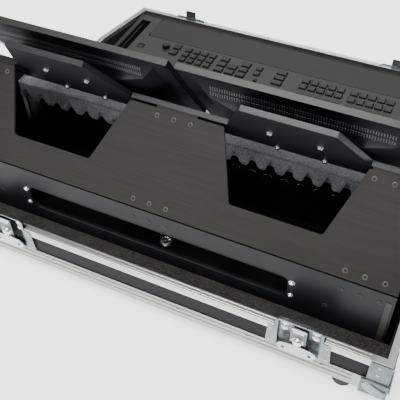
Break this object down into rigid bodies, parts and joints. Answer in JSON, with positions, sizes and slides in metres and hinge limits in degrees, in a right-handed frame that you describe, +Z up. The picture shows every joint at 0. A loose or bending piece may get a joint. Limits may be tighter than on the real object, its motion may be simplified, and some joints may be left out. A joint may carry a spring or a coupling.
{
  "type": "lighting control desk",
  "caption": "Lighting control desk in the base of a flight case, with a folded-plate stand carrying two display screens.",
  "frame": {"origin": "centre of the bounding box, at the underside of the rubber feet", "axes": "+Z up, operator's side towards -Y, rear of the case towards +Y, +X to the operator's right"},
  "size_m": [1.1, 1.0172, 0.5611],
  "materials": {
    "plywood": "plywood, phenolic face",
    "laminate": "black laminate",
    "rim_aluminium": "satin anodised",
    "aluminium": "satin anodised",
    "zinc": "zinc plated",
    "steel": "satin",
    "connector": "black with nickel rings",
    "plate": "fine black powder coat, brushed",
    "foam": "dark open-cell foam",
    "grey_foam": "grey open-cell convoluted foam",
    "housing": "matt dark grey",
    "key": "matt black",
    "screen_shell": "satin black",
    "glass": "gloss black, switched off",
    "rubber": "matt black",
    "board": "green board"
  },
  "bodies": {
    "case": {"case_bottom_board": "plywood", "case_wall_rear": "laminate", "case_wall_front": "laminate", "case_wall_left": "laminate", "case_wall_right": "laminate", "rim_frame": "rim_aluminium", "bottom_angle_frame": "aluminium", "foam_lining": "foam", "ball_corner_rear_left": "zinc", "rubber_foot_rear_left": "rubber", "latch_dish_rear_left": "zinc", "ball_corner_rear_right": "zinc", "rubber_foot_rear_right": "rubber", "latch_dish_rear_right": "zinc", "ball_corner_front_left": "zinc", "rubber_foot_front_left": "rubber", "latch_dish_front_left": "zinc", "ball_corner_front_right": "zinc", "rubber_foot_front_right": "rubber", "latch_dish_front_right": "zinc", "desk_chassis": "housing", "desk_face_panel": "housing", "desk_front_cover": "housing", "desk_rear_housing": "housing", "connector_strip": "connector", "control_board": "board", "power_supply": "steel", "egg_crate_foam": "grey_foam", "stand_rear_plate": "plate", "stand_main_plate": "plate", "stand_upper_plate": "plate", "cable_tray": "plate", "screen_back_left": "screen_shell", "screen_back_right": "screen_shell", "screen_front_left": "glass", "screen_front_right": "glass"},
    "latch_drum_rear_left": {"latch_drum_rear_left": "zinc"},
    "latch_wing_rear_left": {"latch_wing_rear_left": "zinc"},
    "latch_drum_rear_right": {"latch_drum_rear_right": "zinc"},
    "latch_wing_rear_right": {"latch_wing_rear_right": "zinc"},
    "latch_drum_front_left": {"latch_drum_front_left": "zinc"},
    "latch_wing_front_left": {"latch_wing_front_left": "zinc"},
    "latch_drum_front_right": {"latch_drum_front_right": "zinc"},
    "latch_wing_front_right": {"latch_wing_front_right": "zinc"},
    "keys_shift": {"keys_shift": "key"},
    "keys_numeric": {"keys_numeric": "key"},
    "keys_command": {"keys_command": "key"},
    "keys_playback": {"keys_playback": "key"},
    "fader_cap_01": {"fader_cap_01": "key"},
    "fader_cap_02": {"fader_cap_02": "key"},
    "fader_cap_03": {"fader_cap_03": "key"},
    "fader_cap_04": {"fader_cap_04": "key"},
    "fader_cap_05": {"fader_cap_05": "key"},
    "fader_cap_06": {"fader_cap_06": "key"},
    "fader_cap_07": {"fader_cap_07": "key"},
    "fader_cap_08": {"fader_cap_08": "key"},
    "fader_cap_09": {"fader_cap_09": "key"},
    "fader_cap_10": {"fader_cap_10": "key"},
    "level_wheel": {"level_wheel": "rubber"},
    "encoder_knob": {"encoder_knob": "key"}
  },
  "joints": [
    {"name": "latch_turn_rear_right", "type": "hinge", "parent": "case", "child": "latch_drum_rear_right", "pos_m": [0.357, 0.5, 0.105], "axis": [0, 1, 0], "range_deg": [0, 90]},
    {"name": "wing_fold_rear_right", "type": "hinge", "parent": "latch_drum_rear_right", "child": "latch_wing_rear_right", "pos_m": [0.357, 0.5074, 0.105], "axis": [1, 0, 0], "range_deg": [0, 90]},
    {"name": "latch_turn_rear_left", "type": "hinge", "parent": "case", "child": "latch_drum_rear_left", "pos_m": [-0.357, 0.5, 0.105], "axis": [0, 1, 0], "range_deg": [0, 90]},
    {"name": "wing_fold_rear_left", "type": "hinge", "parent": "latch_drum_rear_left", "child": "latch_wing_rear_left", "pos_m": [-0.357, 0.5074, 0.105], "axis": [1, 0, 0], "range_deg": [0, 90]},
    {"name": "latch_turn_front_right", "type": "hinge", "parent": "case", "child": "latch_drum_front_right", "pos_m": [0.37, -0.5, 0.0895], "axis": [0, -1, 0], "range_deg": [0, 90]},
    {"name": "wing_fold_front_right", "type": "hinge", "parent": "latch_drum_front_right", "child": "latch_wing_front_right", "pos_m": [0.37, -0.5074, 0.0895], "axis": [-1, 0, 0], "range_deg": [0, 90]},
    {"name": "latch_turn_front_left", "type": "hinge", "parent": "case", "child": "latch_drum_front_left", "pos_m": [-0.308, -0.5, 0.0895], "axis": [0, -1, 0], "range_deg": [0, 90]},
    {"name": "wing_fold_front_left", "type": "hinge", "parent": "latch_drum_front_left", "child": "latch_wing_front_left", "pos_m": [-0.308, -0.5074, 0.0895], "axis": [-1, 0, 0], "range_deg": [0, 90]},
    {"name": "keys_shift_press", "type": "slide", "parent": "case", "child": "keys_shift", "axis": [0, 0, -1], "range_m": [0, 0.0025], "stiffness_N_per_m": 600, "springref_m": -0.008},
    {"name": "keys_numeric_press", "type": "slide", "parent": "case", "child": "keys_numeric", "axis": [0, 0, -1], "range_m": [0, 0.0025], "stiffness_N_per_m": 600, "springref_m": -0.008},
    {"name": "keys_command_press", "type": "slide", "parent": "case", "child": "keys_command", "axis": [0, 0, -1], "range_m": [0, 0.0025], "stiffness_N_per_m": 600, "springref_m": -0.008},
    {"name": "keys_playback_press", "type": "slide", "parent": "case", "child": "keys_playback", "axis": [0, 0, -1], "range_m": [0, 0.0025], "stiffness_N_per_m": 600, "springref_m": -0.008},
    {"name": "fader_01", "type": "slide", "parent": "case", "child": "fader_cap_01", "axis": [0, 1, 0], "range_m": [0, 0.048]},
    {"name": "fader_02", "type": "slide", "parent": "case", "child": "fader_cap_02", "axis": [0, 1, 0], "range_m": [0, 0.048]},
    {"name": "fader_03", "type": "slide", "parent": "case", "child": "fader_cap_03", "axis": [0, 1, 0], "range_m": [0, 0.048]},
    {"name": "fader_04", "type": "slide", "parent": "case", "child": "fader_cap_04", "axis": [0, 1, 0], "range_m": [0, 0.048]},
    {"name": "fader_05", "type": "slide", "parent": "case", "child": "fader_cap_05", "axis": [0, 1, 0], "range_m": [0, 0.048]},
    {"name": "fader_06", "type": "slide", "parent": "case", "child": "fader_cap_06", "axis": [0, 1, 0], "range_m": [0, 0.048]},
    {"name": "fader_07", "type": "slide", "parent": "case", "child": "fader_cap_07", "axis": [0, 1, 0], "range_m": [0, 0.048]},
    {"name": "fader_08", "type": "slide", "parent": "case", "child": "fader_cap_08", "axis": [0, 1, 0], "range_m": [0, 0.048]},
    {"name": "fader_09", "type": "slide", "parent": "case", "child": "fader_cap_09", "axis": [0, 1, 0], "range_m": [0, 0.048]},
    {"name": "fader_10", "type": "slide", "parent": "case", "child": "fader_cap_10", "axis": [0, 1, 0], "range_m": [0, 0.048]},
    {"name": "level_wheel_roll", "type": "hinge", "parent": "case", "child": "level_wheel", "pos_m": [0.44, -0.293, 0.0945], "axis": [1, 0, 0], "continuous": true},
    {"name": "encoder_turn", "type": "hinge", "parent": "case", "child": "encoder_knob", "pos_m": [0.363, -0.313, 0.11], "axis": [0, 0, 1], "continuous": true}
  ]
}
